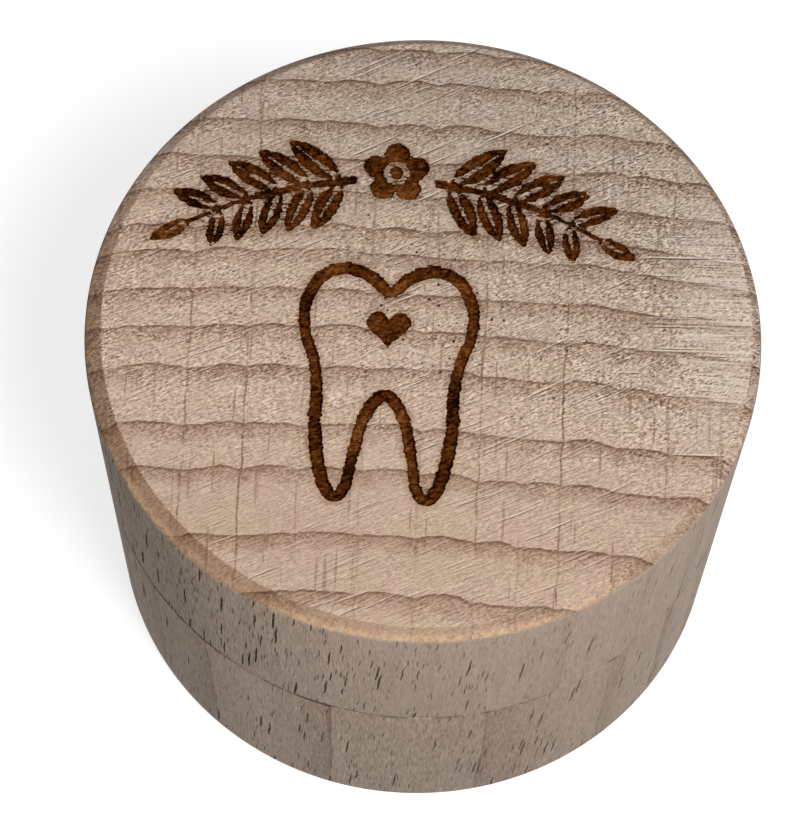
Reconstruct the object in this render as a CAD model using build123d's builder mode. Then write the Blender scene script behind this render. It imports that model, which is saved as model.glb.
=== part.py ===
# A small round keepsake box for a child's first teeth, turned from beech.
# The grain runs up the box, so the lid's flat top is end grain. A plain tenon
# round the mouth of the base slides into a recess turned inside the lid, and
# both outer walls meet flush at the parting line. It is drawn closed, standing
# on its underside, with the origin at the centre of that face and +Z up.
from build123d import *

import os

# Outside of the closed box, in millimetres
outer_diameter = 45.0
closed_height = 33.0
base_height = 17.8  # from the table to the parting line
foot_bevel = 0.5  # all round the underside
rim_bevel_width = 0.9  # all round the top, measured across it
rim_bevel_height = 0.7
parting_break = 0.12  # fine bevel that both walls have at the parting line

# Wood left by the hollowing
floor_thickness = 5.0
crown_thickness = 5.0  # over the hollow of the lid
skirt_wall = 3.0  # the lid's wall outside the tenon
tenon_wall = 2.9
bowl_corner_radius = 4.0  # between the floor and the wall of the base
crown_corner_radius = 3.0  # between the ceiling and the wall of the lid

# The fit of the lid on the tenon
tenon_height = 5.0
fit_clearance = 0.1  # all round the tenon
tenon_headroom = 0.4  # over the tenon, so that the lid seats on the shoulder
tenon_lead_width = 0.5  # bevel that guides the lid on
tenon_lead_height = 0.9
recess_lead = 0.35  # bevel at the mouth of the lid
relief_depth = 0.35  # undercut at the tenon's foot, so that the shoulder is clean
relief_height = 0.8
lip_break = 0.3  # bevel on each inner edge of the mouths

outer_radius = outer_diameter / 2
recess_radius = outer_radius - skirt_wall
tenon_radius = recess_radius - fit_clearance
bowl_radius = tenon_radius - tenon_wall
tenon_top = base_height + tenon_height
recess_top = tenon_top + tenon_headroom
ceiling = closed_height - crown_thickness

os.makedirs("parts", exist_ok=True)

# The base: a cup whose mouth carries the tenon, revolved from its half section
with BuildPart() as base:
    with BuildSketch(Plane.XZ):
        with BuildLine():
            Polyline(
                (0, floor_thickness),
                (0, 0),
                (outer_radius - foot_bevel, 0),
                (outer_radius, foot_bevel),
                (outer_radius, base_height - parting_break),
                (outer_radius - parting_break, base_height),
                (tenon_radius - relief_depth, base_height),
                (tenon_radius - relief_depth, base_height + relief_height - relief_depth),
                (tenon_radius, base_height + relief_height),
                (tenon_radius, tenon_top - tenon_lead_height),
                (tenon_radius - tenon_lead_width, tenon_top),
                (bowl_radius + lip_break, tenon_top),
                (bowl_radius, tenon_top - lip_break),
                (bowl_radius, floor_thickness + bowl_corner_radius),
            )
            RadiusArc(
                (bowl_radius, floor_thickness + bowl_corner_radius),
                (bowl_radius - bowl_corner_radius, floor_thickness),
                bowl_corner_radius,
            )
            Line((bowl_radius - bowl_corner_radius, floor_thickness), (0, floor_thickness))
        make_face()
    revolve(axis=Axis.Z)
base.part.label = "base"
export_step(base.part, "parts/base.step")

# The lid: its recess takes the tenon, and a second step follows the bowl upwards
with BuildPart() as lid:
    with BuildSketch(Plane.XZ):
        with BuildLine():
            Polyline(
                (0, ceiling),
                (0, closed_height),
                (outer_radius - rim_bevel_width, closed_height),
                (outer_radius, closed_height - rim_bevel_height),
                (outer_radius, base_height + parting_break),
                (outer_radius - parting_break, base_height),
                (recess_radius + recess_lead, base_height),
                (recess_radius, base_height + recess_lead),
                (recess_radius, recess_top),
                (bowl_radius + lip_break, recess_top),
                (bowl_radius, recess_top + lip_break),
                (bowl_radius, ceiling - crown_corner_radius),
            )
            RadiusArc(
                (bowl_radius, ceiling - crown_corner_radius),
                (bowl_radius - crown_corner_radius, ceiling),
                -crown_corner_radius,
            )
            Line((bowl_radius - crown_corner_radius, ceiling), (0, ceiling))
        make_face()
    revolve(axis=Axis.Z)
lid.part.label = "lid"
export_step(lid.part, "parts/lid.step")
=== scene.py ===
# Baby tooth box in bare beech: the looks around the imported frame.
# Lengths are in millimetres until a mesh or a lamp is made, where mm turns them into metres.
import math

import bpy
import numpy as np
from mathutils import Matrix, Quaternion, Vector
from mathutils.geometry import delaunay_2d_cdt


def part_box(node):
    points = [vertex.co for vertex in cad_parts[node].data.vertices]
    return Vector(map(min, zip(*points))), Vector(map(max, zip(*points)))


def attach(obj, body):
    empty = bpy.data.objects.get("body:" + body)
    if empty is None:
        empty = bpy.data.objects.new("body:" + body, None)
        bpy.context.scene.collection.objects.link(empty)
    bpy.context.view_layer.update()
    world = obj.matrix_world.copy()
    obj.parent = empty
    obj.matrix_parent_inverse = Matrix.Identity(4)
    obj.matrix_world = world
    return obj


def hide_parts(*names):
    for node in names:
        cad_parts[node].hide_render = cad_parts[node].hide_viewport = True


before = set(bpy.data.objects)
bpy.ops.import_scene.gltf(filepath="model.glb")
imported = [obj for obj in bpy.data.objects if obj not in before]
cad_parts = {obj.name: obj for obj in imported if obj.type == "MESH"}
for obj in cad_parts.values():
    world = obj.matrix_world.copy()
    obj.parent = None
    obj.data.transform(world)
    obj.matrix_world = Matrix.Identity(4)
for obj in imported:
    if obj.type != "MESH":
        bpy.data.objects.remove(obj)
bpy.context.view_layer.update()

mm = 0.001
lidLow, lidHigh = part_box("lid")
_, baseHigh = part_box("base")
wallRadius = lidHigh.x / mm
boxTop = lidHigh.z / mm
seamHeight = lidLow.z / mm
tenonTop = baseHigh.z / mm
box = dict(  # in step with part.py
    skirtWall=3.0, crown=5.0, floor=5.0, clearance=0.1, tenonWall=2.9, headroom=0.4,
    bevelWidth=0.9, bevelHeight=0.7, footBevel=0.5, seamBreak=0.12,
    crownCorner=3.0, bowlCorner=4.0, lip=0.3, recessLead=0.35, leadWidth=0.5, leadHeight=0.9,
    reliefDepth=0.35, reliefHeight=0.8,
)
recessRadius = wallRadius - box["skirtWall"]
tenonRadius = recessRadius - box["clearance"]
bowlRadius = tenonRadius - box["tenonWall"]
recessTop = tenonTop + box["headroom"]
ceiling = boxTop - box["crown"]
floorHeight = box["floor"]
print("frame loaded, box", round(2 * wallRadius, 2), "mm across,", round(boxTop, 2), "mm high")


# Camera: it looks steeply down on the lid, a little off the box's axis

cameraView = dict(
    place=(0.0, -80.2, 189.6), aim=(-1.377, 0.515, 16.5), roll=1.7356,
    lens=114.33, sensor=36.0,
)


def addObject(name, data):
    thing = bpy.data.objects.new(name, data)
    bpy.context.scene.collection.objects.link(thing)
    return thing


def aimAt(thing, place, target, roll=0.0):
    # Cameras and lamps look along their own -Z
    thing.location = Vector(place) * mm
    level = (Vector(target) * mm - thing.location).to_track_quat("-Z", "Y")
    thing.rotation_mode = "QUATERNION"
    thing.rotation_quaternion = level @ Quaternion((0, 0, 1), math.radians(roll))


def makeCamera():
    look = cameraView
    camera = addObject("camera", bpy.data.cameras.new("camera"))
    camera.data.lens = look["lens"]
    camera.data.sensor_width = look["sensor"]
    camera.data.clip_start = mm
    aimAt(camera, look["place"], look["aim"], look["roll"])
    bpy.context.scene.camera = camera


# Helpers for node trees: each adds a node to the tree in hand

hand = dict(tree=None)


def takeUp(owner):
    # Empties the tree of this material or world, for the helpers to fill
    owner.use_nodes = True
    hand["tree"] = owner.node_tree
    hand["tree"].nodes.clear()


def put(kind, inputs=None, **settings):
    tree = hand["tree"]
    node = tree.nodes.new("ShaderNode" + kind)
    for name, value in settings.items():
        setattr(node, name, value)
    for name, value in (inputs or {}).items():
        if isinstance(value, bpy.types.NodeSocket):
            tree.links.new(value, node.inputs[name])
        else:
            node.inputs[name].default_value = value
    return node


def calc(operation, *values):
    return put("Math", dict(enumerate(values)), operation=operation).outputs[0]


def chained(operation, values):
    result, *others = values
    for other in others:
        result = calc(operation, result, other)
    return result


def plus(*values):
    return chained("ADD", values)


def times(*values):
    return chained("MULTIPLY", values)


def largest(*values):
    return chained("MAXIMUM", values)


def minus(value, other):
    return calc("SUBTRACT", value, other)


def timesPlus(value, factor, offset):
    return calc("MULTIPLY_ADD", value, factor, offset)


def apart(value, other):
    return calc("ABSOLUTE", minus(value, other))


def ramp(value, start, end, low=0.0, high=1.0, way="SMOOTHSTEP"):
    # From low at start to high at end, and held beyond both
    node = put("MapRange", {0: value, 1: start, 2: end, 3: low, 4: high}, interpolation_type=way)
    return node.outputs[0]


def mix(share, first, second, way="MIX"):
    node = put("Mix", {0: share, 6: first, 7: second},
               data_type="RGBA", blend_type=way, clamp_factor=True)
    return node.outputs[2]


def vectorMath(operation, place, other):
    return put("VectorMath", {0: place, 1: other}, operation=operation).outputs[0]


def shaded(colour, shade):
    return put("VectorMath", {0: colour, 3: shade}, operation="SCALE").outputs[0]


def xyz(place):
    return put("SeparateXYZ", {0: place}).outputs


def flatPlace(x, y):
    return put("CombineXYZ", {0: x, 1: y}).outputs[0]


def fromAxis(x, y):
    squares = plus(calc("POWER", x, 2.0), calc("POWER", y, 2.0))
    return calc("SQRT", squares)


def facingUp():
    # 1 where the surface faces up, 0 on the walls, -1 where it faces down
    return xyz(put("NewGeometry").outputs["Normal"])[2]


def millimetres(**moves):
    # The place on the piece, in the box's own frame or turned and shifted into another
    place = put("TexCoord").outputs["Object"]
    return put("Mapping", {"Vector": place, "Scale": (1 / mm,) * 3, **moves}).outputs[0]


def turned(place, degrees):
    # The same place seen along a direction that is turned by this much about Z
    back = (0, 0, math.radians(-degrees))
    return put("Mapping", {"Vector": place, "Rotation": back}).outputs[0]


def noise(place, bumps, detail=2.0, rough=0.5, stretch=(1, 1, 1)):
    # About 0 in the middle and 1 at the extremes; bumps is how many there are in a millimetre
    stretched = vectorMath("MULTIPLY", place, stretch)
    node = put("TexNoise",
               {"Vector": stretched, "Scale": bumps, "Detail": detail, "Roughness": rough})
    return timesPlus(node.outputs["Fac"], 2.0, -1.0)


def curve(value, points):
    # Straight runs between points, which go from 0 to 1 both ways
    node = put("FloatCurve", {"Value": value})
    line = node.mapping.curves[0]
    while len(line.points) < len(points):
        line.points.new(0.5, 0.5)
    for spot, (across, up) in zip(line.points, points):
        spot.location = (across, up)
        spot.handle_type = "VECTOR"
    node.mapping.update()
    return node.outputs[0]


def slivers(place, spacing, reach, soft=0.05):
    # Scattered thin slivers on a flat place: spacing is along x and y, reach their largest half length as a
    # share of it. Returns how much a place lies in one, and a random number for each.
    spots = vectorMath("MULTIPLY", place, (1 / spacing[0], 1 / spacing[1], 0))
    cells = put("TexVoronoi", {"Vector": spots, "Scale": 1.0, "Randomness": 1.0},
                voronoi_dimensions="2D")
    # Only the blue of a cell's colour is free of where its sliver lies
    draw = put("SeparateColor", {0: cells.outputs["Color"]}).outputs[2]
    size = ramp(calc("FRACT", times(draw, 57.0)), 0.0, 1.0, reach * 0.3, reach)
    inside = minus(size, cells.outputs["Distance"])
    return ramp(inside, 0.0, soft), draw


def srgb(red, green, blue):
    # Colours as they look on a screen, 0 to 255
    def linear(part):
        part /= 255
        return part / 12.92 if part <= 0.04045 else ((part + 0.055) / 1.055) ** 2.4
    return linear(red), linear(green), linear(blue), 1.0


# Beech as a solid that each piece is cut from: x runs along the growth rings, y across them, z up the trunk

lidGrain = dict(
    turn=0.0, shift=(0.0, 0.0, 0.0),
    pithX=-3.0, pithY=-235.0,  # the heart of the trunk, seen from above
    firstRing=-23.2,  # where the first ring line crosses the middle of the piece
    ringWidths=(3.6, 4.0, 4.5, 3.1, 4.2, 3.0, 2.7, 2.9, 1.9, 2.7, 2.7, 2.9, 3.3, 2.6, 2.9),
    ringTones=(0.5, 0.6, 0.55, 0.5, 0.7, 0.5, 0.55, 0.4, 0.5, 0.6, 0.45, 0.55, 0.5, 0.45, 0.5),
    rays=(-20.6, -15.4, -11.5, -7.7, -3.6, 0.2, 4.1, 6.9, 9.5, 13.2, 16.4, 19.9),
    rayStrengths=(0.4, 0.9, 1.0, 0.45, 0.5, 0.35, 0.8, 0.4, 1.0, 0.45, 0.7, 0.4),
    wallRings=(0.2, 0.12),  # how strongly the late wood and its line show on the walls
    gritty=(1.4, 0.54),  # how coarse the end grain is at the back and at the front
    # The flakes' number and darkness and the fibre of the walls, where x is low and where it is high
    moreFlakes=(0.1, -0.09), flakeDepth=(0.92, 0.66), fibre=(0.9, 0.36),
    # Painted light and shade on the walls, lighter or darker from side to side
    wallLightAlongX=(0.94, 1.19, 1.05, 1.0, 0.95),  # in even steps along x
)
baseGrain = dict(
    turn=178.0, shift=(0.0, 0.0, 11.0),  # the base's rings bow towards the front
    pithX=-5.0, pithY=-150.0,
    firstRing=-26.0,
    ringWidths=(3.2, 3.4, 3.9, 3.4, 4.1, 3.6, 4.1, 3.7, 4.2, 3.4, 3.6, 3.6, 3.75, 3.55, 4.0),
    ringTones=(0.5, 0.6, 0.4, 0.5, 0.6, 0.5, 0.4, 0.6, 0.5, 0.4, 0.6, 0.5, 0.55, 0.1, 0.5),
    rays=(-19.0, -13.5, -9.0, -4.2, 0.8, 5.1, 9.9, 14.6, 19.0),
    rayStrengths=(0.4, 0.5, 0.8, 0.4, 0.6, 0.4, 0.7, 0.5, 0.4),
    wallRings=(0.55, 0.42), gritty=(1.0, 1.0), moreFlakes=(-0.05, -0.03), flakeDepth=(0.7, 0.8),
    # Painted light and shade on the walls, lighter or darker from side to side
    fibre=(0.36, 0.7), wallLightAlongX=(0.98, 0.92, 0.97, 1.2, 1.2),
)
beech = dict(
    lightWood=srgb(187, 166, 149), pinkWood=srgb(184, 160, 146), sandWood=srgb(182, 160, 140),
    lateColour=srgb(142, 113, 94), lineColour=srgb(92, 66, 50), rayColour=srgb(122, 94, 72),
    # paleSpeck paints tiny highlights on the end grain
    poreColour=srgb(98, 69, 50), paleSpeck=srgb(228, 209, 191), flake=srgb(58, 41, 30),
    # The walls' colours are greyer and darker: partly the side grain's own colour, partly painted shade
    sideWood=srgb(161, 145, 131), sideLate=srgb(132, 110, 95),
    sideShare=0.65,  # how far the walls turn greyer
    shine=0.14,
    ringSway=0.55, ringTremble=0.11,  # how far a ring line strays, slowly and quickly
    scallop=0.42, fullGap=4.4,  # how far it bows out between two rays, and the gap that takes all of it
    ringLine=(0.27, 0.09), hairline=(0.13, 0.04),  # its width on end grain and on walls, faint and full
    lateWood=1.5, lateEnd=(2.2, 1.2),  # the darkening below each ring line
    ringContrast=0.125,  # between the tones of rings on the walls
    rayWidth=0.115, rayWaver=0.22, rayShare=0.95,
    raySpread=700.0,  # rays draw together over this far towards the pith
    flakeLean=0.075, flakeBend=0.1,
    # The flakes' spacing around and up the wall, and the share of them that shows
    largeFlakes=((0.28, 5.6), 0.22), smallFlakes=((0.2, 2.2), 0.27),
    dashSpacing=(0.4, 6.5), poreSpacing=(0.27, 0.24), sparkSpacing=(0.36, 0.33),
)


def shares(values, first, last):
    return [(value - first) / (last - first) for value in values]


def acrossTheRays(grain, x, y):
    closing = timesPlus(y, 1 / beech["raySpread"], 1)
    fromPith = minus(x, grain["pithX"])
    return plus(calc("DIVIDE", fromPith, closing), grain["pithX"])


def archesBetweenRays(grain, across):
    # 0 at each ray and up to 1 between two of them
    edge = wallRadius + 4
    spots = shares(grain["rays"], -edge, edge)
    arches = [(0, 0)]
    for here, there in zip(spots, spots[1:]):
        gap = there - here
        rise = min(1, gap * 2 * edge / beech["fullGap"])
        side = 0.7 * rise
        arches += [(here, 0), (here + gap * 0.2, side), (here + gap * 0.5, rise), (here + gap * 0.8, side)]
    arches += [(spots[-1], 0), (1, 0)]
    return curve(timesPlus(across, 0.5 / edge, 0.5), arches)


def growthRings(grain, place, x, y, across):
    # Returns the late wood below each ring line, the line on end grain and on walls, and the ring's tone
    look = beech
    outwards = fromAxis(minus(x, grain["pithX"]), minus(y, grain["pithY"]))
    ringPlace = plus(outwards, grain["pithY"])
    sway = noise(place, 0.11, detail=3, rough=0.55, stretch=(1, 1, 0.25))
    tremble = noise(place, 1.5, detail=3, rough=0.6, stretch=(1, 1, 0.08))
    ringPlace = timesPlus(sway, look["ringSway"], ringPlace)
    ringPlace = timesPlus(tremble, look["ringTremble"], ringPlace)
    arch = archesBetweenRays(grain, across)
    least, most = -0.15 * look["scallop"], -look["scallop"]
    bow = ramp(noise(place, 0.17, stretch=(1, 1, 0.3)), -0.35, 0.35, least, most)
    ringPlace = timesPlus(arch, bow, ringPlace)

    widths = grain["ringWidths"]
    count = len(widths)
    widest = max(widths)
    lines = np.cumsum((grain["firstRing"],) + widths)
    share = calc("DIVIDE", minus(ringPlace, float(lines[0])), float(lines[-1] - lines[0]))
    steps = [(at, number / count) for number, at in enumerate(shares(lines, lines[0], lines[-1]))]
    ring = times(curve(share, steps), count)
    middle = calc("DIVIDE", plus(calc("FLOOR", ring), 0.5), count)

    def perRing(values, highest=1):
        steps = [((number + 0.5) / count, value / highest) for number, value in enumerate(values)]
        return curve(middle, steps)

    tone = perRing(grain["ringTones"])
    below = times(minus(1, calc("FRACT", ring)), perRing(widths, widest), widest)

    # Late wood darkens towards its line, in ragged patches
    patch = noise(place, 0.16, stretch=(1, 0.5, 0.2))
    ragged = noise(place, 1.1, detail=3, rough=0.65, stretch=(0.7, 1, 0.1))
    strength = times(ramp(tone, 0, 1, 0.8, 1.1), ramp(patch, -0.4, 0.4, 0.75, 1.1))
    fading = timesPlus(ragged, 0.9, below)
    late = times(ramp(fading, look["lateWood"], 0.1, way="LINEAR"), ramp(below, *look["lateEnd"]), strength)
    uneven = plus(patch, ragged)
    bowed = timesPlus(arch, 0.5, 0.5)
    fainter = ramp(timesPlus(y, 0.6, x), -14, 6, 0.85, 1.1)
    line = times(ramp(below, *look["ringLine"]), ramp(below, 0, 0.03), ramp(uneven, -0.6, 0.1, 0.35, 1),
                 bowed, fainter)
    hairline = times(ramp(below, *look["hairline"]), ramp(uneven, -0.3, 0.3))
    return late, line, hairline, tone


def longRays(grain, place, across):
    # Fine broken lines that run from the pith outwards over the end grain
    waver = noise(place, 0.5, stretch=(0.05, 1, 0.1))
    wavered = timesPlus(waver, beech["rayWaver"], across)
    marks = 0.0
    for spot, power in zip(grain["rays"], grain["rayStrengths"]):
        marks = largest(ramp(apart(wavered, spot), beech["rayWidth"], 0.02, 0, power), marks)
    broken = ramp(noise(place, 0.4, detail=4, rough=0.65, stretch=(1, 1, 0.4)), -0.25, 0.2, 0.1, 1)
    return times(marks, broken)


def rayFlakes(grain, x, y, z):
    # Rays end on the walls as thin dark flakes that lean a little, in loose groups
    look = beech
    around = times(calc("ARCTAN2", x, times(y, -1)), wallRadius)
    leaning = timesPlus(z, -look["flakeLean"], around)
    bend = times(noise(flatPlace(leaning, z), 0.9, detail=1), look["flakeBend"])
    wall = flatPlace(plus(leaning, bend), z)
    group = noise(wall, 0.16, detail=2, stretch=(1, 0.7, 1))
    more = ramp(x, -15, 14, *grain["moreFlakes"])
    marks = 0.0
    for (spacing, share), darkness in ((look["largeFlakes"], 1), (look["smallFlakes"], 0.7)):
        shape, draw = slivers(wall, spacing, 0.31, soft=0.04)
        grouped = plus(timesPlus(group, 0.25, draw), more)
        shown = ramp(grouped, 0.99 - share, 1.05 - share, 0, darkness)
        marks = largest(times(shape, shown), marks)
    return marks


def paleWood(grain, place, x, tone, wallShare):
    # Wood in pink and sandy patches, greyer and darker on the walls partly as painted shade, where each
    # ring also has its own shade, with painted light and shade that change from side to side along x
    look = beech
    blush = ramp(noise(place, 0.22, detail=3, stretch=(1, 1, 0.15)), -0.3, 0.3)
    colour = mix(blush, look["pinkWood"], look["sandWood"])
    cloud = ramp(noise(place, 0.6, detail=3, stretch=(1, 1, 0.1)), -0.4, 0.5)
    colour = mix(cloud, colour, look["lightWood"])
    # The walls turn greyer and darker: partly the side grain's own colour, partly painted shade
    colour = mix(times(wallShare, look["sideShare"]), colour, look["sideWood"])
    # The painted light steps are halved because a curve ends at 1
    lightSteps = [(step / 4, value / 2) for step, value in enumerate(grain["wallLightAlongX"])]
    wallLightHere = curve(timesPlus(x, 0.5 / wallRadius, 0.5), lightSteps)
    ringTone = timesPlus(minus(tone, 0.5), look["ringContrast"], -1)
    return colour, timesPlus(wallShare, timesPlus(wallLightHere, 2, ringTone), 1)


def gritAndFibre(grain, place, x, y, facing, endGrain, wallShare, grit):
    # Returns how gritty the end grain is, and how light or dark its grit and the walls' upright fibres are
    fine = noise(place, 3.4, detail=2, rough=0.7, stretch=(1, 1, 0.14))
    coarse = noise(place, 1.4, detail=1, rough=0.6, stretch=(1, 1, 0.12))
    fibre = noise(place, 8.5, detail=1, rough=0.7, stretch=(1, 1, 0.11))
    atBack, atFront = grain["gritty"]
    gritShare = times(ramp(y, -3, -14, atBack, atFront), ramp(x, 2, 14, 1, 1.32),
                      ramp(noise(place, 0.45, stretch=(1, 1, 0.4)), -0.35, 0.35, 0.65, 1.15))
    bevelled = ramp(calc("ABSOLUTE", facing), 0.985, 0.93, 0, 0.12)
    gritShare = times(plus(gritShare, bevelled), endGrain)
    onWall = times(wallShare, ramp(x, -17, 4, *grain["fibre"]))
    speck = plus(times(grit, gritShare), times(fine, gritShare, 0.25), times(fibre, onWall),
                 times(fine, onWall, 0.25), times(coarse, 0.12))
    return gritShare, speck


def fleckedEndGrain(colour, flat, late, endGrain, gritShare):
    # Short rays, open pores and a few pale sparks, which are painted highlights
    look = beech
    dashes, draw = slivers(flat, look["dashSpacing"], 0.27, soft=0.08)
    colour = mix(times(dashes, ramp(draw, 0.45, 1, 0, 0.6), endGrain), colour, look["rayColour"])
    pores, draw = slivers(flat, look["poreSpacing"], 0.3, soft=0.12)
    crowd = times(pores, ramp(draw, 0.6, 0.9), timesPlus(late, 0.4, 0.4), endGrain, gritShare)
    colour = mix(crowd, colour, look["poreColour"])
    # Painted highlights: tiny pale specks
    sparks, draw = slivers(flat, look["sparkSpacing"], 0.3, soft=0.12)
    sparks = times(sparks, ramp(draw, 0.65, 0.85, 0, 0.4), endGrain, gritShare)
    return mix(sparks, colour, look["paleSpeck"])


def beechWood(grain, place, facing):
    # Returns the wood's colour, a height for its bump and its shine
    look = beech
    x, y, z = xyz(place)
    endGrain = ramp(calc("ABSOLUTE", facing), 0.25, 0.7)
    wallShare = minus(1, endGrain)
    across = acrossTheRays(grain, x, y)
    late, line, hairline, tone = growthRings(grain, place, x, y, across)
    colour, shade = paleWood(grain, place, x, tone, wallShare)

    # Rings and long rays, which the walls show less than the end grain
    grit = noise(turned(place, sanding["napSlope"]), 7, detail=1, rough=0.8, stretch=(0.5, 1.15, 0.2))
    strokes = ramp(grit, -0.45, 0.35, 1.4, 0.7)
    lateOnWall, lineOnWall = grain["wallRings"]
    lateColour = mix(endGrain, look["sideLate"], look["lateColour"])
    colour = mix(times(late, strokes, ramp(endGrain, 0, 1, lateOnWall, 0.95)), colour, lateColour)
    line = plus(times(line, endGrain, 0.85), times(hairline, wallShare, lineOnWall))
    colour = mix(line, colour, look["lineColour"])
    rays = times(longRays(grain, place, across), endGrain)
    colour = mix(times(rays, look["rayShare"]), colour, look["rayColour"])

    gritShare, speck = gritAndFibre(grain, place, x, y, facing, endGrain, wallShare, grit)
    colour = shaded(colour, plus(speck, shade))
    colour = fleckedEndGrain(colour, flatPlace(across, y), late, endGrain, gritShare)
    flakes = times(rayFlakes(grain, x, y, z), wallShare)
    depth = ramp(x, -10, 10, *grain["flakeDepth"])
    colour = mix(times(flakes, depth), colour, look["flake"])
    return colour, grit, ramp(flakes, 0, 1, look["shine"], 0)


# Marks of the sander on flat end grain: a fine brushed nap and longer scratches, their relief painted into
# the colour as painted highlight and shade

sanding = dict(
    napSlope=26.0, napLength=0.45, napFineness=6.0, napDepth=0.75,
    shortSlopes=(23.0, 28.0), shortSpacing=(5.2, 0.2), shortDepth=0.75,
    longSlope=30.0, levelSlope=1.5, longSpacing=(10.5, 0.24), levelDepth=2.1,
    # pale and dark are the painted highlight and painted shade of the sanding marks' relief; pale also
    # colours the level streaks
    pale=srgb(228, 210, 194), dark=srgb(100, 78, 63),
    offset=0.1,  # from the pale line of a scratch to the dark line beside it
    edgeX=10.5,  # from here to the right the last pass ran level
    streakMiddle=1.5, streakReach=(11.0, 4.0), streakShare=0.75,  # where pale streaks run along that edge
)


def scratches(place, slope, spacing):
    # Each one is a painted highlight with a painted shade beside it, and they come in bundles
    along = turned(place, slope)
    bundle = ramp(noise(along, 1, detail=1, stretch=(0.07, 0.8, 0)), -0.3, 0.2, 0.2, 1)
    pair = []
    for spot in (along, vectorMath("ADD", along, (0, sanding["offset"], 0))):
        shape, draw = slivers(spot, spacing, 0.3, soft=0.12)
        pair.append(times(shape, ramp(draw, 0.3, 0.9)))
    return times(minus(*pair), bundle)


def sandedFace(colour, place, share):
    look = sanding
    x, y, _ = xyz(place)
    patch = ramp(noise(place, 0.2, detail=3), -0.25, 0.3, 0.3, 1)
    levelSide = ramp(x, look["edgeX"], look["edgeX"] + 7)
    slopedSide = timesPlus(levelSide, -0.8, 1)

    # Short ones all over, longer ones towards the back right, level ones along the right edge
    backRight = ramp(timesPlus(y, 0.8, x), -9, 5, 0.15, 1.3)
    kinds = [(slope, look["shortSpacing"], times(slopedSide, look["shortDepth"]))
             for slope in look["shortSlopes"]]
    kinds += [(look["longSlope"], look["longSpacing"], times(slopedSide, backRight)),
              (look["levelSlope"], look["longSpacing"], times(levelSide, look["levelDepth"]))]
    relief = 0.0
    for slope, spacing, depth in kinds:
        relief = timesPlus(scratches(place, slope, spacing), depth, relief)

    along = turned(place, look["napSlope"])
    lifted = vectorMath("ADD", along, (0, look["offset"], 0))
    stretch = (look["napLength"], look["napFineness"], 0.2)
    brushed, shifted = (noise(spot, 1, rough=0.6, stretch=stretch) for spot in (along, lifted))
    nap = times(minus(brushed, shifted), slopedSide, look["napDepth"])
    relief = times(plus(relief, nap), patch, share, 0.85)

    # Fine level streaks make the right edge paler
    streaks = ramp(noise(place, 1, detail=2, stretch=(0.15, 5, 0)), -0.3, 0.35)
    streaked = ramp(apart(y, look["streakMiddle"]), *look["streakReach"], 0, look["streakShare"])
    streaked = times(streaks, ramp(x, 15.5, 19.5), share, streaked)
    colour = mix(streaked, colour, look["pale"])
    # The scratches' and the nap's relief is painted into the colour as painted highlight and painted shade
    colour = mix(times(relief, 0.85), colour, look["pale"])
    colour = mix(times(relief, -1.1), colour, look["dark"])
    return colour, times(brushed, share)


# Painted light on the lid: painted shade makes its face greyer towards the back and right and a little
# darker at the front, and darkens its slanted rim round the left, back and right; the rim is tinted warmer
# at the front, and a golden painted highlight runs along its lower edge

lidShading = dict(
    # The face's tints are painted shade, rimShade and rimDusk are painted shade on the rim, golden is a
    # painted highlight, rimWarm a warm tint
    shadedBackRight=srgb(232, 237, 241), front=srgb(246, 243, 240), rimShade=srgb(236, 229, 224),
    rimWarm=srgb(217, 206, 195), rimDusk=srgb(222, 216, 210), golden=srgb(203, 170, 135),
    highlightGapX=-11.5,  # round here the golden painted highlight fades out
    highlightReach=(0.65, 0.15), highlightShare=0.62,
)


def paintedLidLight(colour, place, facing):
    look = lidShading
    x, y, z = xyz(place)
    radius = fromAxis(x, y)
    top = ramp(z, boxTop - 1.6, boxTop - 0.9)
    # Painted shade: the face greyer and darker towards the back and right, and a little darker at its front
    shadedBackRight = times(ramp(timesPlus(x, 0.6, y), -14, 20), top)
    atFront = times(ramp(y, -6, -16), ramp(facing, 0.93, 0.985))

    slant = times(ramp(facing, 0.985, 0.93), ramp(facing, 0.3, 0.6), top,
                  ramp(radius, wallRadius - 1.6, wallRadius - 1.2))
    # Painted shade on the slanted rim round the left, the back and the right
    lefter = ramp(timesPlus(x, -0.9, times(y, -0.35)), 7, 19)
    backer = ramp(y, 6, 18)
    righter = ramp(x, 16, 20.5, 0, 0.45)
    front = ramp(timesPlus(x, 0.75, y), -4, -20)
    patch = ramp(noise(place, 0.8, detail=3), -0.4, 0.4, 0.65, 1)
    darker = times(slant, patch, largest(lefter, backer, righter))
    # More painted shade on the rim at the front right
    dusky = times(slant, ramp(x, 9.5, 14.5), ramp(x, 19.5, 17.5), ramp(y, 4, 0))
    for share, tint in ((shadedBackRight, "shadedBackRight"), (atFront, "front"), (times(slant, front), "rimWarm"),
                        (darker, "rimShade"), (dusky, "rimDusk")):
        colour = mix(share, colour, look[tint], way="MULTIPLY")

    # A golden painted highlight along the rim's lower edge, speckled, and fading out round one spot at the
    # left
    starts, full = (wallRadius - inwards for inwards in look["highlightReach"])
    speckled = ramp(noise(place, 2.2, detail=3, rough=0.65), -0.3, 0.25, 0.2, 1)
    worn = ramp(apart(x, look["highlightGapX"]), 2, 5, 0.4, 1)
    edge = times(slant, ramp(radius, starts, full), front, speckled, worn, ramp(y, -9, -12.5),
                 look["highlightShare"])
    return mix(edge, colour, look["golden"])


# Painted shade in the parting line, most of it at the left

seamShade = dict(colour=srgb(48, 38, 32), reach=(0.28, 0.06), leftShare=1.0, rightShare=0.6)


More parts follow.
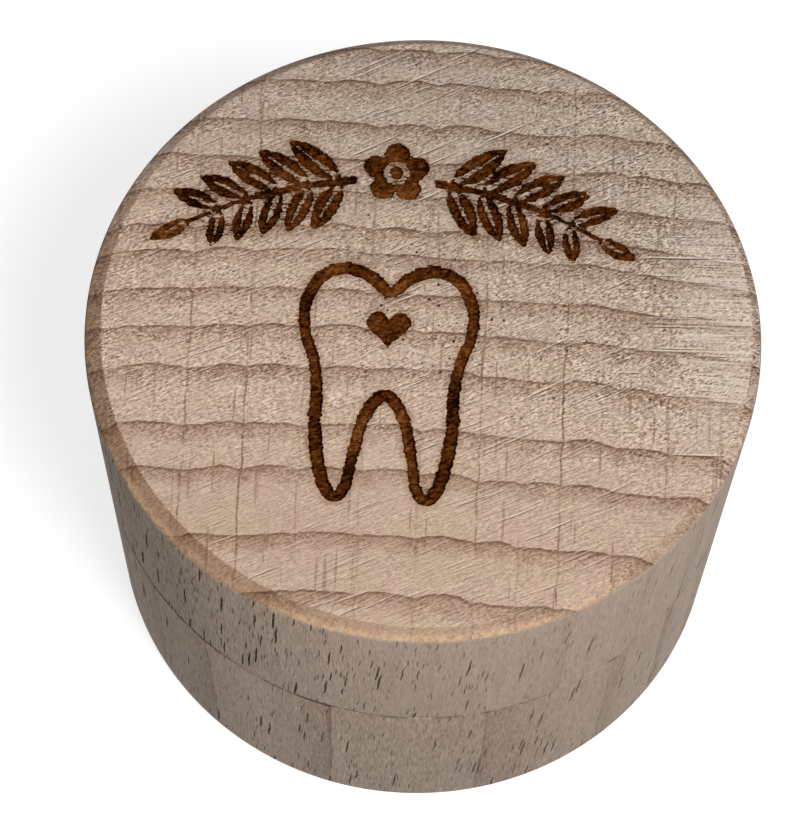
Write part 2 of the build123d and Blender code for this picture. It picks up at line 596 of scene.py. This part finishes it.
def shadedSeam(colour, place):
    look = seamShade
    x, y, z = xyz(place)
    near = ramp(apart(z, seamHeight), *look["reach"])
    patch = ramp(noise(place, 0.7, detail=3), -0.3, 0.25, 0.55, 1)
    lefter = ramp(x, 12, -10, look["rightShare"], look["leftShare"])
    outer = ramp(fromAxis(x, y), wallRadius - 0.35, wallRadius - 0.15)
    # Painted shade near the seam's height on the outer wall
    return mix(times(near, patch, lefter, outer), colour, look["colour"])


# Fine grooves that the turning tool left inside, where nobody sanded

turning = dict(groove=0.42, waver=0.16, shadeShare=0.07, depthShare=1.3)


def turnedInside(colour, height, place, opening):
    # The grooves follow the hollow from its middle outwards. Opening is 1 where it opens upwards, and -1
    # where it opens downwards.
    look = turning
    x, y, z = xyz(place)
    radius = fromAxis(x, y)
    path = timesPlus(z, float(opening), radius)
    path = timesPlus(noise(place, 0.3, detail=2), look["waver"], path)
    groove = calc("SINE", times(path, 2 * math.pi / look["groove"]))
    within = times(ramp(radius, wallRadius - 0.9, wallRadius - 1.4), ramp(z, 0.6, 1.2),
                   ramp(z, ceiling + 1.2, ceiling + 0.6))
    patch = ramp(noise(place, 0.25, detail=2), -0.4, 0.4, 0.4, 1)
    groove = times(groove, within, patch)
    colour = shaded(colour, timesPlus(groove, look["shadeShare"], 1))
    return colour, timesPlus(groove, look["depthShare"], height)


finish = dict(
    rough=0.62, burntRough=0.3,  # the roughness of bare wood, and what burning adds to it
    bumpHeight=0.03, bumpStrength=0.8, napHeight=0.8,
)


def woodMaterial(name, grain, opening, burnt=False):
    look = finish
    material = bpy.data.materials.new(name)
    takeUp(material)
    boxPlace = millimetres()
    place = millimetres(Rotation=(0, 0, math.radians(grain["turn"])), Location=grain["shift"])
    facing = facingUp()
    colour, height, shine = beechWood(grain, place, facing)
    z = xyz(boxPlace)[2]
    flat = ramp(calc("ABSOLUTE", facing), 0.9, 0.99)
    share = times(flat, ramp(z, boxTop - 1, boxTop - 0.4, 0.4, 1))
    colour, relief = sandedFace(colour, boxPlace, share)
    height = timesPlus(relief, look["napHeight"], height)
    rough = look["rough"]
    if burnt:
        # Painted light and shade on the lid's face and rim
        colour = paintedLidLight(colour, boxPlace, facing)
        colour, height, rough, shine = burn(colour, height, shine, boxPlace)
    # Painted shade in the parting line
    colour = shadedSeam(colour, boxPlace)
    colour, height = turnedInside(colour, height, boxPlace, opening)
    bump = put("Bump",
               {"Height": height, "Distance": look["bumpHeight"] * mm, "Strength": look["bumpStrength"]})
    shader = put("BsdfPrincipled",
                 {"Base Color": colour, "Roughness": rough, "Specular IOR Level": shine,
                  "Normal": bump.outputs[0]})
    put("OutputMaterial", {0: shader.outputs[0]})
    return material


# Laser burning, by distance from the edge of the drawing: below 0 is inside it

burnLook = dict(
    char=srgb(26, 8, 1), brown=srgb(76, 38, 11), golden=srgb(118, 72, 32),
    smoke=srgb(190, 152, 110), smokeReach=0.55, smokeShare=0.5,
    passes=6.5,  # the laser's level passes in a millimetre
    fibreHeat=0.95, passHeat=0.35, patchHeat=0.8, edgeHeat=0.12,  # what chars the wood, and how much
    soot=srgb(40, 24, 15), sootMiddle=(1.2, 0.5, 0.0), sootReach=8.5, sootSpacing=(0.33, 0.36),
)


def sootyPores(colour, place):
    # A few pores near the drawing hold soot, most of them a little right of its middle
    look = burnLook
    x, y, z = xyz(vectorMath("SUBTRACT", place, look["sootMiddle"]))
    near = plus(ramp(fromAxis(x, y), look["sootReach"], 1.5, 0, 0.11),
                times(noise(place, 0.35, detail=2, stretch=(1, 1, 0)), 0.1))
    shape, draw = slivers(flatPlace(x, y), look["sootSpacing"], 0.36, soft=0.08)
    shown = ramp(plus(draw, near), 1, 1.03, 0, 0.9)
    onTop = ramp(z, boxTop - 0.6, boxTop - 0.3)
    soot = times(shape, shown, onTop)
    return mix(soot, colour, look["soot"]), soot


def burn(colour, height, shine, place):
    look = burnLook
    depth = put("Attribute", attribute_name="burnDistance").outputs["Fac"]
    teeth = noise(place, look["passes"], detail=1, rough=0.7, stretch=(0.3, 1, 0))
    depth = timesPlus(teeth, 0.09, depth)
    inside = ramp(depth, 0.015, -0.03)
    # Charred at the edges and in patches, golden where the beam ran faster
    fibre = noise(turned(place, sanding["napSlope"]), 4.5, detail=2, rough=0.7, stretch=(0.6, 1, 1))
    patches = noise(place, 0.3, detail=2, rough=0.6)
    edge = ramp(depth, -0.25, 0, 0, look["edgeHeat"])
    heat = plus(times(fibre, look["fibreHeat"]), times(teeth, look["passHeat"]),
                times(patches, look["patchHeat"]), edge)
    burntWood = mix(ramp(heat, -0.05, -0.5), look["brown"], look["golden"])
    burntWood = mix(ramp(heat, -0.05, 0.4), burntWood, look["char"])
    haze = times(ramp(depth, look["smokeReach"], 0, 0, look["smokeShare"]),
                 ramp(noise(place, 0.9, detail=3), -0.4, 0.4, 0.3, 1))
    colour = mix(haze, colour, look["smoke"], way="MULTIPLY")
    colour, soot = sootyPores(colour, place)
    colour = mix(inside, colour, burntWood)
    height = timesPlus(times(fibre, inside), 0.8, height)
    rough = timesPlus(inside, finish["burntRough"], finish["rough"])
    shine = times(shine, minus(1, largest(inside, soot)))
    return colour, height, rough, shine


# The drawing on the lid, in millimetres on its flat face

farOff = 9.0  # stands for any distance well outside the drawing
drawing = dict(
    middle=-2.3,  # it sits a little left of the lid's middle, as in the photograph
    garlandArc=26.5, garlandTop=10.6,
    stemFrom=6.3, firstLeaf=8.0, garlandReach=31.0,  # along the arc, in degrees from its top
    stem=0.31, stemTip=0.15, leafPairs=5,
    leafLong=4.9, leafShort=3.2, leafPlump=0.38, leafLeans=(57.0, 47.0), innerLeaf=0.88,
    ribWidth=0.23, ribFrom=0.45, ribShare=0.78,  # the pale midrib of a leaf
    blossomHeight=11.2, petals=5, petalOut=1.42, petalSize=0.9, eye=0.5, eyeRing=0.85,
    toothTop=3.7, toothWidth=11.2, toothStroke=0.43,
    heartHeight=-0.6, heartSize=1.5,
)
# Half of the tooth, from the dip at its top to the arch between its roots, as shares of half its width
toothShares = ((0, -0.30), (0.24, -0.10), (0.52, 0.0), (0.82, -0.12), (0.99, -0.48), (0.98, -0.86),
               (0.86, -1.22), (0.80, -1.62), (0.80, -2.05), (0.74, -2.52), (0.64, -2.86), (0.52, -2.96),
               (0.41, -2.84), (0.34, -2.44), (0.26, -2.04), (0.13, -1.76), (0, -1.66))


def smoothPath(points, steps=8):
    # Catmull-Rom through every point of a closed path
    path = []
    count = len(points)
    for i in range(count):
        a, b, c, d = (np.array(points[(i + k - 1) % count]) for k in range(4))
        for t in np.linspace(0, 1, steps, endpoint=False):
            path.append(0.5 * (2 * b + (c - a) * t + (2 * a - 5 * b + 4 * c - d) * t * t
                               + (3 * b - a - 3 * c + d) * t ** 3))
    return path


def lineField(x, y, path, widths):
    # Distance to a pen line whose half width changes along it
    field = np.full(x.shape, 99.0)
    for a, b, wideA, wideB in zip(path, path[1:], widths, widths[1:]):
        run = b - a
        t = np.clip(((x - a[0]) * run[0] + (y - a[1]) * run[1]) / (run @ run), 0, 1)
        away = np.hypot(x - a[0] - t * run[0], y - a[1] - t * run[1])
        field = np.minimum(field, away - wideA - t * (wideB - wideA))
    return field


def leafField(x, y, foot, heading, length):
    # Two arcs that meet in a point at both ends, with a pale midrib that stops short of the tip
    look = drawing
    along = (x - foot[0]) * math.cos(heading) + (y - foot[1]) * math.sin(heading)
    aside = -(x - foot[0]) * math.sin(heading) + (y - foot[1]) * math.cos(heading)
    half, belly = length / 2, length * look["leafPlump"] / 2
    radius = (half * half + belly * belly) / (2 * belly)
    blade = np.hypot(along - half, np.abs(aside) + radius - belly) - radius
    rib = look["ribWidth"] * (1 - along / (look["ribShare"] * length)) - np.abs(aside)
    return np.maximum(blade, np.where(along > look["ribFrom"], rib, -9))


def heartField(x, y, centre, size):
    outline = []
    for t in np.linspace(0, 2 * math.pi, 60):
        up = 13 * math.cos(t) - 5 * math.cos(2 * t) - 2 * math.cos(3 * t) - math.cos(4 * t)
        outline.append(np.array((centre[0] + size * math.sin(t) ** 3, centre[1] + size * up / 16)))
    edge = lineField(x, y, outline, [0.0] * len(outline))
    crossings = np.zeros(x.shape, int)
    for a, b in zip(outline, outline[1:]):
        spans = (a[1] > y) != (b[1] > y)
        meet = a[0] + (y - a[1]) * (b[0] - a[0]) / np.where(spans, b[1] - a[1], 1)
        crossings += spans & (x < meet)
    return np.where(crossings % 2 == 1, -edge, edge)


def garlandField(x, y):
    # Two sprays of leaves along an arc, the left one a mirror of the right one
    look = drawing
    centre = np.array((look["middle"], look["garlandTop"] - look["garlandArc"]))
    pairs = look["leafPairs"]
    fields = []
    for side in (-1, 1):
        def onArc(degrees):
            turn = math.radians(degrees) * side
            return centre + look["garlandArc"] * np.array((math.sin(turn), math.cos(turn)))
        stem = [onArc(turn) for turn in np.linspace(look["stemFrom"], look["garlandReach"], 30)]
        fields.append(lineField(x, y, stem, np.linspace(look["stem"], look["stemTip"], len(stem))))
        # The leaves below the stem have less room than those above it, and one leaf ends it
        inner, outer = look["leafLeans"]
        leaves = ((-inner, look["innerLeaf"]), (outer, 1.0))
        for pair in range(pairs + 1):
            share = pair / pairs
            turn = look["firstLeaf"] + (look["garlandReach"] - look["firstLeaf"]) * share
            length = look["leafLong"] + (look["leafShort"] - look["leafLong"]) * share
            tangent = (0.0 if side > 0 else math.pi) - math.radians(turn) * side
            for lean, size in leaves if pair < pairs else ((0.0, 1.0),):
                heading = tangent + side * math.radians(lean)
                fields.append(leafField(x, y, onArc(turn), heading, length * size))
    return np.minimum.reduce(fields)


def blossomField(x, y):
    look = drawing
    middle = np.array((look["middle"], look["blossomHeight"]))
    fields = []
    for petal in range(look["petals"]):
        turn = math.radians(90 + 360 / look["petals"] * petal)
        place = middle + look["petalOut"] * np.array((math.cos(turn), math.sin(turn)))
        fields.append(np.hypot(x - place[0], y - place[1]) - look["petalSize"])
    eye = np.hypot(x - middle[0], y - middle[1])
    fields = [np.maximum(np.minimum.reduce(fields), look["eyeRing"] - eye), eye - look["eye"]]
    return np.minimum.reduce(fields)


def toothField(x, y):
    look = drawing
    half = look["toothWidth"] / 2
    start = np.array((look["middle"], look["toothTop"]))
    right = [start + half * np.array(spot) for spot in toothShares]
    left = [np.array((2 * look["middle"] - spot[0], spot[1])) for spot in right[-2:0:-1]]
    outline = smoothPath(right + left)
    outline.append(outline[0])
    # The pen line swells and thins a little
    widths = [look["toothStroke"] * (1 + 0.1 * math.sin(0.11 * i)) for i in range(len(outline))]
    return lineField(x, y, outline, widths)


def drawnField(x, y):
    # Distance to the nearest edge of the drawing, below 0 inside it
    heart = heartField(x, y, (drawing["middle"], drawing["heartHeight"]), drawing["heartSize"])
    return np.minimum.reduce([garlandField(x, y), blossomField(x, y), toothField(x, y), heart])


engraving = dict(
    step=0.07, acrossFace=(-20.4, 15.9), upFace=(-14.6, 16.6),  # the grid that the drawing is worked out on
    depth=0.25, depthShare=0.12,  # the floor lies this deep, give or take this share of it
    slant=0.13,  # the width of the sloping sides
    ragged=0.022, teeth=0.034, seed=7,
)


def between(grid, row, column):
    # A grid's value at places between its points
    r, c = np.floor(row).astype(int), np.floor(column).astype(int)
    s, t = row - r, column - c
    return ((grid[r, c] * (1 - t) + grid[r, c + 1] * t) * (1 - s)
            + (grid[r + 1, c] * (1 - t) + grid[r + 1, c + 1] * t) * s)


def raggedField():
    # The drawing on a fine grid of the lid's face, its edges roughened as a laser's passes leave them
    look = engraving
    columns = np.arange(*look["acrossFace"], look["step"])
    rows = np.arange(*look["upFace"], look["step"])
    field = drawnField(*np.meshgrid(columns, rows))
    draw = np.random.default_rng(look["seed"])
    bumps = draw.normal(size=(len(rows) // 3 + 2, len(columns) // 3 + 2))
    bumps = (bumps + np.roll(bumps, 1, 0) + np.roll(bumps, 1, 1)) / 1.7
    smooth = between(bumps, np.arange(len(rows))[:, None] / 3, np.arange(len(columns))[None, :] / 3)
    passes = np.repeat(draw.normal(size=len(rows) // 2 + 1), 2)[:len(rows)]
    return columns, rows, field + look["ragged"] * smooth + look["teeth"] * passes[:, None]


def traceEdge(columns, rows, field, height):
    # Marching squares: the points where the field passes this height, and the short lines between them
    inside = field < height
    step = engraving["step"]
    points, lines, numbers = [], [], {}

    def crossing(row, column, up):
        key = (row, column, up)
        if key not in numbers:
            here, there = field[row, column], field[row + up, column + 1 - up]
            # Kept off the grid's points, where triangles would get too thin
            share = min(max((height - here) / (there - here), 0.12), 0.88)
            numbers[key] = len(points)
            points.append((columns[column] + share * step * (1 - up), rows[row] + share * step * up))
        return numbers[key]

    mixed = inside[:-1, :-1].astype(int) + inside[1:, :-1] + inside[:-1, 1:] + inside[1:, 1:]
    for row, column in np.argwhere((mixed > 0) & (mixed < 4)):
        a, b = inside[row, column], inside[row, column + 1]
        c, d = inside[row + 1, column], inside[row + 1, column + 1]
        met = [crossing(*spot) for changes, spot in (
            (a != b, (row, column, 0)), (b != d, (row, column + 1, 1)),
            (d != c, (row + 1, column, 0)), (c != a, (row, column, 1))) if changes]
        lines += [(met[k], met[k + 1]) for k in range(0, len(met), 2)]
    return points, lines


def engravedFace(rim):
    # The lid's flat face inside its rim, cut into triangles, with the drawing sunk into it
    look = engraving
    step, slant = look["step"], look["slant"]
    columns, rows, field = raggedField()
    edgePoints, edgeLines = traceEdge(columns, rows, field, 0.0)
    floorPoints, floorLines = traceEdge(columns, rows, field, -slant)
    points = list(rim) + edgePoints + floorPoints
    sunkFrom = len(rim) + len(edgePoints)
    lines = [(k, (k + 1) % len(rim)) for k in range(len(rim))]
    lines += [(a + len(rim), b + len(rim)) for a, b in edgeLines]
    lines += [(a + sunkFrom, b + sunkFrom) for a, b in floorLines]

    # Loose points inside the drawing's floor, and wider apart around the drawing
    def gridPoints(every, nearest, furthest):
        part = field[::every, ::every]
        picks = np.argwhere((part > nearest) & (part < furthest)) * every
        return [(columns[c], rows[r]) for r, c in picks]

    points += gridPoints(3, -farOff, -slant - 2 * step)
    sunkTo = len(points)
    points += gridPoints(7, 2 * step, 1.4)
    print("drawing traced:", len(edgePoints), "edge points,", len(points), "in all")
    spots, _, faces, origins, _, _ = delaunay_2d_cdt([Vector(p) for p in points], lines, [], 0, 1e-5)
    draw = np.random.default_rng(look["seed"])
    places, distances = [], []
    for spot, origin in zip(spots, origins):
        source = origin[0] if origin else 0
        row = min(max((spot.y - rows[0]) / step, 0), len(rows) - 1.001)
        column = min(max((spot.x - columns[0]) / step, 0), len(columns) - 1.001)
        sunk = sunkFrom <= source < sunkTo
        sink = look["depth"] * (1 + look["depthShare"] * draw.normal()) if sunk else 0.0
        places.append((spot.x, spot.y, boxTop - max(sink, 0.0)))
        distances.append(farOff if source < len(rim) else float(between(field, row, column)))
    return places, faces, distances, origins


# Turned shapes

segments = 256
handRim = dict(  # the bevel as sanded by hand: wider round the left, lower at the front
    wider=0.25, widestAt=-158.0, lower=0.28, lowestAt=-92.0, lowReach=42.0, wavy=0.05,
)


def easedOutline(corners):
    # Each corner is radius, height and how far back along both sides its edge is rounded
    outline = []
    for i, (radius, height, ease) in enumerate(corners):
        here = np.array((radius, height))
        if not ease or i in (0, len(corners) - 1):
            outline.append(here)
            continue
        before, after = np.array(corners[i - 1][:2]), np.array(corners[i + 1][:2])
        start = here + (before - here) / np.linalg.norm(before - here) * ease
        end = here + (after - here) / np.linalg.norm(after - here) * ease
        steps = 12 if ease > 1 else 4
        for t in np.linspace(0, 1, steps + 1):
            outline.append(start * (1 - t) ** 2 + here * 2 * t * (1 - t) + end * t * t)
    return outline


def handSanded(turn):
    # How much wider and taller than drawn the lid's bevel is at this angle
    look = handRim
    wider = look["wider"] * math.cos(turn - math.radians(look["widestAt"]))
    off = math.remainder(turn - math.radians(look["lowestAt"]), 2 * math.pi)
    front = math.degrees(off) / look["lowReach"]
    taller = -look["lower"] * math.exp(-front * front) + look["wavy"] * math.cos(3 * turn + 1)
    return wider, taller


def turnedRings(outline, first=0):
    # Rings of vertices for an outline, and the quads between them; a point on the axis is one vertex
    places, rings, faces = [], [], []
    for radius, height in outline:
        if radius < 1e-6:
            rings.append([first + len(places)])
            places.append((0.0, 0.0, height))
            continue
        rings.append([first + len(places) + k for k in range(segments)])
        for k in range(segments):
            turn = 2 * math.pi * k / segments
            places.append((radius * math.cos(turn), radius * math.sin(turn), height))
    for upper, lower in zip(rings, rings[1:]):
        for k in range(segments):
            after = (k + 1) % segments
            if len(upper) == 1:
                faces.append((upper[0], lower[k], lower[after]))
            elif len(lower) == 1:
                faces.append((upper[k], lower[0], upper[after]))
            else:
                faces.append((upper[k], lower[k], lower[after], upper[after]))
    return places, rings, faces


def buildMesh(name, places, faces, material, distances=None):
    mesh = bpy.data.meshes.new(name)
    mesh.from_pydata([Vector(place) * mm for place in places], [], faces)
    if distances is not None:
        burnt = mesh.attributes.new("burnDistance", "FLOAT", "POINT")
        burnt.data.foreach_set("value", distances)
    mesh.polygons.foreach_set("use_smooth", [True] * len(mesh.polygons))
    mesh.set_sharp_from_angle(angle=math.radians(24))
    mesh.materials.append(material)
    mesh.validate()
    return addObject(name, mesh)


# Maps for baking at export: flat parts are laid out as discs, upright ones unrolled

def readNumbers(items, name, width, kind=float):
    numbers = np.empty(len(items) * width, kind)
    items.foreach_get(name, numbers)
    return numbers.reshape(-1, width) if width > 1 else numbers


def polygonPlaces(mesh):
    # Where each polygon lies, and how much it faces upwards
    centres = readNumbers(mesh.polygons, "center", 3) / mm
    up = readNumbers(mesh.polygons, "normal", 3)[:, 2]
    return np.hypot(centres[:, 0], centres[:, 1]), centres[:, 2], up


def walls(radius, upright):
    # The outer wall, the one of the recess or the tenon, and the hollow's
    outer = radius > wallRadius - 0.7
    inner = radius < bowlRadius + 1
    return upright & outer, upright & ~outer & ~inner, upright & inner


def layMap(mesh, discs, strips):
    # A disc is its polygons, its middle on the map and its map units in a millimetre, below 0 for one seen
    # from beneath. A strip is its polygons, its lowest height, where that is on the map, and its units.
    corners = readNumbers(mesh.vertices, "co", 3)[readNumbers(mesh.loops, "vertex_index", 1, int)] / mm
    owner = np.repeat(np.arange(len(mesh.polygons)), readNumbers(mesh.polygons, "loop_total", 1, int))
    centres = readNumbers(mesh.polygons, "center", 3)
    middle = np.arctan2(centres[:, 1], centres[:, 0])[owner] % (2 * math.pi)
    turn = np.arctan2(corners[:, 1], corners[:, 0])
    turn = middle + (turn - middle + math.pi) % (2 * math.pi) - math.pi
    spots = np.zeros((len(corners), 2))
    for chosen, place, scale in discs:
        here = chosen[owner]
        spots[here] = np.array(place) + corners[here, :2] * (scale, abs(scale))
    for chosen, low, bottom, scale in strips:
        here = chosen[owner]
        spots[here, 0] = 0.006 + 0.988 * turn[here] / (2 * math.pi)
        spots[here, 1] = bottom + (corners[here, 2] - low) * scale
    mesh.uv_layers.new(name="OFBake").data.foreach_set("uv", spots.ravel())


def mapLid(mesh):
    radius, height, up = polygonPlaces(mesh)
    top = (height > boxTop - 1.1) & (radius < wallRadius - 0.06)
    upright = (np.abs(up) < 0.75) & ~top
    flat = ~upright & ~top
    hollow = radius < bowlRadius + 0.15
    outside, recess, inside = walls(radius, upright)
    layMap(mesh,
           [(top, (0.345, 0.655), 0.015), (flat & hollow, (0.845, 0.845), -0.0088),
            (flat & ~hollow, (0.845, 0.53), -0.0065)],
           [(outside, seamHeight, 0.185, 0.0085), (recess, seamHeight, 0.125, 0.0085),
            (inside, recessTop - 0.1, 0.07, 0.0085)])


def mapBase(mesh):
    radius, _, up = polygonPlaces(mesh)
    upright = np.abs(up) < 0.75
    outside, tenon, inside = walls(radius, upright)
    layMap(mesh,
           [(~upright & (up > 0), (0.245, 0.29), 0.0105), (~upright & (up < 0), (0.755, 0.29), -0.0105)],
           [(outside, 0, 0.822, 0.0095), (tenon, seamHeight, 0.762, 0.0095),
            (inside, floorHeight, 0.583, 0.0095)])


def seamWear(places, away, seed, depth=0.022):
    # The two edges at the seam are a little uneven: away is 1 for the lid's, which wears upwards
    draw = np.random.default_rng(seed)
    waves = draw.normal(size=(12, 2)) / np.arange(2, 14)[:, None] ** 0.5
    worn = []
    for x, y, z in places:
        if math.hypot(x, y) > wallRadius - 0.3 and abs(z - seamHeight) < 0.25:
            turn = math.atan2(y, x)
            wave = sum(a * math.sin((k + 3) * 2.3 * turn) + b * math.cos((k + 3) * 2.3 * turn)
                       for k, (a, b) in enumerate(waves))
            z += away * depth * abs(wave)
        worn.append((x, y, z))
    return worn


def sandRim(place):
    # Points on the bevel follow its real width and height, and the wall below them stays
    x, y, z = place
    radius = math.hypot(x, y)
    inner = wallRadius - box["bevelWidth"]
    if z < boxTop - box["bevelHeight"] - 0.4 or radius < inner - 0.2:
        return place
    wider, taller = handSanded(math.atan2(y, x))
    outwards = min(max((wallRadius - radius) / box["bevelWidth"], 0.0), 1.0)
    down = min(max((boxTop - z) / box["bevelHeight"], 0.0), 1.0)
    newRadius = radius - wider * outwards
    newHeight = z - taller * down
    return x / radius * newRadius, y / radius * newRadius, min(newHeight, boxTop)


def makeLid(material):
    bevel = wallRadius - box["bevelWidth"]
    flat = bevel - 0.15
    lead, lip, edge = box["recessLead"], box["lip"], box["seamBreak"]
    corners = [
        (flat, boxTop, 0), (bevel, boxTop, 0.14), (wallRadius, boxTop - box["bevelHeight"], 0.28),
        (wallRadius, seamHeight + edge, 0.04), (wallRadius - edge, seamHeight, 0.04),
        (recessRadius + lead, seamHeight, 0.05), (recessRadius, seamHeight + lead, 0.05),
        (recessRadius, recessTop, 0), (bowlRadius + lip, recessTop, 0.05),
        (bowlRadius, recessTop + lip, 0.05), (bowlRadius, ceiling, box["crownCorner"]), (0, ceiling, 0),
    ]
    rim = []
    for k in range(segments):
        turn = 2 * math.pi * k / segments
        radius = flat - handSanded(turn)[0]
        rim.append((radius * math.cos(turn), radius * math.sin(turn)))
    places, faces, distances, origins = engravedFace(rim)
    body, rings, quads = turnedRings(easedOutline(corners), first=len(places))
    body = [sandRim(place) for place in seamWear(body, away=1, seed=3)]
    onRim = {origin[0]: number for number, origin in enumerate(origins) if origin and origin[0] < segments}
    weld = {rings[0][k]: onRim[k] for k in range(segments)}
    # The first ring is the face's own rim, so its copy is left out
    moved = {old: old - segments for ring in rings[1:] for old in ring}
    quads = [tuple(weld.get(v, moved.get(v)) for v in quad) for quad in quads]
    places += body[segments:]
    faces = [tuple(face) for face in faces] + quads
    distances += [farOff] * (len(body) - segments)
    return buildMesh("lid_engraved", places, faces, material, distances)


def makeBase(material):
    foot, lip, edge = box["footBevel"], box["lip"], box["seamBreak"]
    depth = box["reliefDepth"]
    groove = tenonRadius - depth
    grooveTop = seamHeight + box["reliefHeight"]
    corners = [
        (0, floorHeight, 0), (bowlRadius, floorHeight, box["bowlCorner"]),
        (bowlRadius, tenonTop - lip, 0.05), (bowlRadius + lip, tenonTop, 0.05),
        (tenonRadius - box["leadWidth"], tenonTop, 0.1), (tenonRadius, tenonTop - box["leadHeight"], 0.15),
        (tenonRadius, grooveTop, 0.05), (groove, grooveTop - depth, 0), (groove, seamHeight, 0),
        (wallRadius - edge, seamHeight, 0.04), (wallRadius, seamHeight - edge, 0.04),
        (wallRadius, foot, 0.12), (wallRadius - foot, 0, 0.12), (0, 0, 0),
    ]
    places, _, faces = turnedRings(easedOutline(corners))
    places = seamWear(places, away=-1, seed=5)
    return buildMesh("base_turned", places, [face[::-1] for face in faces], material)


makeCamera()
lidWood = woodMaterial("beech_lid", lidGrain, opening=-1, burnt=True)
baseWood = woodMaterial("beech_base", baseGrain, opening=1)
print("materials made")

lid = makeLid(lidWood)
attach(lid, "lid")
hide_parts("lid")
mapLid(lid.data)
print("lid made,", len(lid.data.polygons), "faces")

base = makeBase(baseWood)
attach(base, "base")
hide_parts("base")
mapBase(base.data)
print("base made,", len(base.data.polygons), "faces")


# Floor, lamps and surroundings

studio = dict(
    floorSize=4000.0, floorColour=srgb(152, 152, 152), glow=0.8,
    skyColour=srgb(246, 243, 238), skyLevel=0.08, lampColour=(1.0, 0.98, 0.95),
    keyPlace=(94.0, -144.0, 300.0), keySize=95.0, keyWatts=1.2,
    overPlace=(20.0, -60.0, 620.0), overSize=420.0, overWatts=0.35,
)


def lamp(name, place, size, watts):
    light = bpy.data.lights.new(name, "AREA")
    light.shape = "DISK"
    light.size = size * mm
    light.energy = watts
    light.color = studio["lampColour"]
    aimAt(addObject(name, light), place, (0, 0, boxTop / 2))


def seenDirectly():
    path = put("LightPath").outputs
    return largest(path["Is Camera Ray"], path["Is Glossy Ray"], path["Is Transmission Ray"])


def makeFloor():
    half = studio["floorSize"] / 2 * mm
    mesh = bpy.data.meshes.new("floor")
    corners = [(-half, -half, 0), (half, -half, 0), (half, half, 0), (-half, half, 0)]
    mesh.from_pydata(corners, [], [(0, 1, 2, 3)])
    material = bpy.data.materials.new("floor_paper")
    takeUp(material)
    paper = put("BsdfDiffuse", {"Color": studio["floorColour"]})
    strength = times(seenDirectly(), studio["glow"])
    shine = put("Emission", {"Color": (1, 1, 1, 1), "Strength": strength})
    both = put("AddShader", {0: paper.outputs[0], 1: shine.outputs[0]})
    put("OutputMaterial", {0: both.outputs[0]})
    mesh.materials.append(material)
    floor = addObject("floor", mesh)


def makeSky():
    world = bpy.data.worlds.new("studio")
    takeUp(world)
    level = ramp(seenDirectly(), 0, 1, studio["skyLevel"], 1)
    sky = put("Background", {"Color": studio["skyColour"], "Strength": level})
    put("OutputWorld", {0: sky.outputs[0]})
    bpy.context.scene.world = world


makeFloor()
makeSky()
lamp("key", studio["keyPlace"], studio["keySize"], studio["keyWatts"])
lamp("overhead", studio["overPlace"], studio["overSize"], studio["overWatts"])
bpy.context.scene.view_settings.view_transform = "Standard"
print("studio made")
